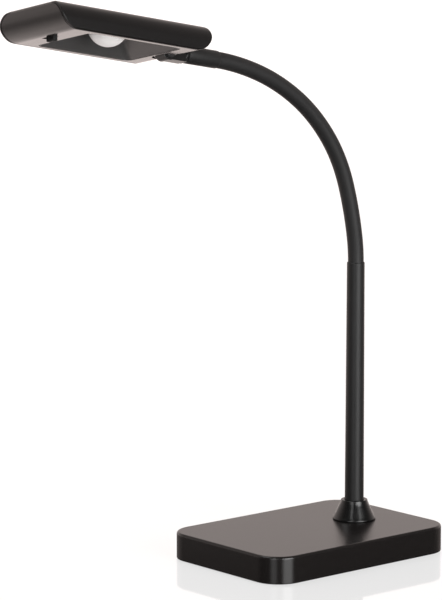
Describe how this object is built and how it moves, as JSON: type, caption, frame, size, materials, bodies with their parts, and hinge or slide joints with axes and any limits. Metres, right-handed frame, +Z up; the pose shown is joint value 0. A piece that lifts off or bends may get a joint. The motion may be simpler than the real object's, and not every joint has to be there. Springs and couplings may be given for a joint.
{
  "type": "gooseneck piano lamp",
  "caption": "Lamp with a weighted oblong base, tapered stem, flexible curved neck and a long flat head with a domed light in a sunk reflector and a slide switch.",
  "frame": {"origin": "centre of the underside of the middle rubber foot, in the plane the lamp rests on", "axes": "+Z up along the stem, -Y the way the head reaches, +X to the right seen from the front (from -Y, looking along +Y)"},
  "size_m": [0.122, 0.3383, 0.4145],
  "materials": {
    "base_black": "satin black, fine moulded surface",
    "weight_iron": "raw casting",
    "plate_black": "satin black powder coat",
    "foot_rubber": "matt",
    "screw_steel": "zinc plated",
    "inlet_black": "moulded socket with a metal centre pin",
    "lead_black": "flexible insulation",
    "collar_black": "gloss black",
    "tube_steel": "drawn tube",
    "stem_black": "satin black",
    "neck_black": "smooth satin sleeve",
    "core_steel": "wound spring steel",
    "ferrule_black": "satin black",
    "bush_brass": "turned",
    "clip_steel": "spring steel",
    "knuckle_black": "satin black die casting",
    "shell_black": "satin black coating",
    "cap_black": "gloss black moulding",
    "reflector_grey": "satin grey",
    "lens_white": "frosted white dome",
    "spreader_aluminium": "plain sheet",
    "board_white": "solder mask",
    "emitter_yellow": "phosphor coated",
    "board_green": "solder mask",
    "switch_black": "ribbed moulding",
    "washer_nylon": "nylon"
  },
  "bodies": {
    "base": {"base_cover": "base_black", "base_weight": "weight_iron", "bottom_plate": "plate_black", "rubber_feet": "foot_rubber", "base_screws": "screw_steel", "power_inlet": "inlet_black", "base_lead": "lead_black", "stem_collar": "collar_black", "stem_tube": "tube_steel", "stem_sleeve": "stem_black", "stem_washer": "screw_steel", "stem_nut": "screw_steel"},
    "neck_1": {"neck_core_1": "core_steel", "neck_sleeve_1": "neck_black", "neck_lead_1": "lead_black"},
    "neck_2": {"core_flex_1": "core_steel", "neck_core_2": "core_steel", "neck_sleeve_2": "neck_black", "neck_lead_2": "lead_black"},
    "neck_3": {"core_flex_2": "core_steel", "neck_core_3": "core_steel", "neck_sleeve_3": "neck_black", "neck_lead_3": "lead_black"},
    "neck_4": {"core_flex_3": "core_steel", "neck_core_4": "core_steel", "neck_sleeve_4": "neck_black", "neck_lead_4": "lead_black"},
    "neck_5": {"core_flex_4": "core_steel", "neck_core_5": "core_steel", "neck_sleeve_5": "neck_black", "neck_lead_5": "lead_black"},
    "neck_6": {"core_flex_5": "core_steel", "neck_core_6": "core_steel", "neck_sleeve_6": "neck_black", "neck_lead_6": "lead_black", "neck_ferrule": "ferrule_black", "end_bush": "bush_brass"},
    "knuckle": {"knuckle": "knuckle_black", "swivel_clip": "clip_steel", "knuckle_lead": "lead_black"},
    "head": {"head_shell": "shell_black", "end_cap_right": "cap_black", "end_cap_left": "cap_black", "reflector": "reflector_grey", "lens": "lens_white", "heat_spreader": "spreader_aluminium", "led_board": "board_white", "led_emitters": "emitter_yellow", "driver_board": "board_green", "head_lead": "lead_black", "switch_body": "switch_black", "hinge_bracket": "tube_steel", "bracket_screws": "screw_steel", "hinge_pin": "screw_steel", "hinge_nut": "screw_steel", "friction_washers": "washer_nylon"},
    "switch": {"switch_knob": "switch_black"}
  },
  "joints": [
    {"name": "neck_turn", "type": "hinge", "parent": "base", "child": "neck_1", "pos_m": [0, 0.0447, 0.2134], "axis": [0, 0, 1], "range_deg": [-45, 45]},
    {"name": "neck_bend_1", "type": "hinge", "parent": "neck_1", "child": "neck_2", "pos_m": [0, 0.0434, 0.23134], "axis": [1, 0, 0], "range_deg": [-12, 10], "deforming": ["neck_sleeve_1", "neck_lead_1", "core_flex_1", "neck_sleeve_2", "neck_lead_2"]},
    {"name": "neck_bend_2", "type": "hinge", "parent": "neck_2", "child": "neck_3", "pos_m": [0, 0.03417, 0.27165], "axis": [1, 0, 0], "range_deg": [-12, 10], "deforming": ["core_flex_2", "neck_sleeve_3", "neck_lead_3"]},
    {"name": "neck_bend_3", "type": "hinge", "parent": "neck_3", "child": "neck_4", "pos_m": [0, 0.01521, 0.30822], "axis": [1, 0, 0], "range_deg": [-12, 10], "deforming": ["core_flex_3", "neck_sleeve_4", "neck_lead_4"]},
    {"name": "neck_bend_4", "type": "hinge", "parent": "neck_4", "child": "neck_5", "pos_m": [0, -0.01436, 0.33698], "axis": [1, 0, 0], "range_deg": [-12, 10], "deforming": ["core_flex_4", "neck_sleeve_5", "neck_lead_5"]},
    {"name": "neck_bend_5", "type": "hinge", "parent": "neck_5", "child": "neck_6", "pos_m": [0, -0.05062, 0.35675], "axis": [1, 0, 0], "range_deg": [-12, 10], "deforming": ["core_flex_5", "neck_sleeve_6", "neck_lead_6"]},
    {"name": "head_swivel", "type": "hinge", "parent": "neck_6", "child": "knuckle", "pos_m": [0, -0.09042, 0.36788], "axis": [0, -0.9856, 0.1693], "range_deg": [-70, 50]},
    {"name": "head_tilt", "type": "hinge", "parent": "knuckle", "child": "head", "pos_m": [0, -0.13575, 0.37567], "axis": [0.9813, 0.0326, 0.1897], "range_deg": [-4, 60], "deforming": ["head_lead"]},
    {"name": "switch_slide", "type": "slide", "parent": "head", "child": "switch", "axis": [-0.9813, -0.0326, -0.1897], "range_m": [0, 0.004]}
  ],
  "couplings": [
    {"joint": "neck_bend_2", "follows": "neck_bend_1", "ratio": 1},
    {"joint": "neck_bend_3", "follows": "neck_bend_1", "ratio": 1},
    {"joint": "neck_bend_4", "follows": "neck_bend_1", "ratio": 1},
    {"joint": "neck_bend_5", "follows": "neck_bend_1", "ratio": 1}
  ]
}
